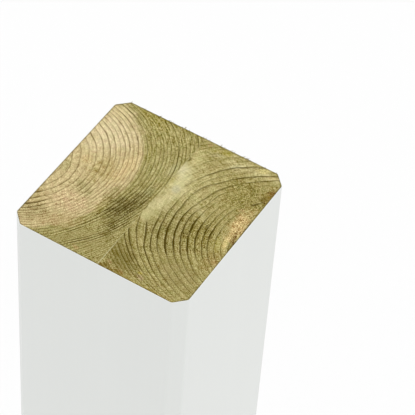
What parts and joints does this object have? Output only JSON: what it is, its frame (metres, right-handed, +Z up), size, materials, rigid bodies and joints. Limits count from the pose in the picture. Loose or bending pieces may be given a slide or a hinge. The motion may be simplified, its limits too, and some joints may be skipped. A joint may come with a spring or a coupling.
{
  "type": "laminated timber post",
  "caption": "Square laminated softwood post with chamfered long corners, opaque white painted sides and bare sawn end grain, used upright as a fence, rail or pergola post.",
  "frame": {"origin": "centre of the foot, on the surface that the post stands on", "axes": "+Z up along the grain to the top end, +X across the boards at right angles to the glue line, +Y along the glue line"},
  "size_m": [0.09, 0.09, 1],
  "materials": {
    "left_board": "bare sawn end grain of pressure-treated softwood, tan heartwood and olive sapwood",
    "right_board": "bare sawn end grain of pressure-treated softwood, olive green",
    "white_paint": "opaque white factory paint on planed softwood, satin"
  },
  "bodies": {
    "root": {"left_board": "left_board", "right_board": "right_board"}
  },
  "joints": []
}
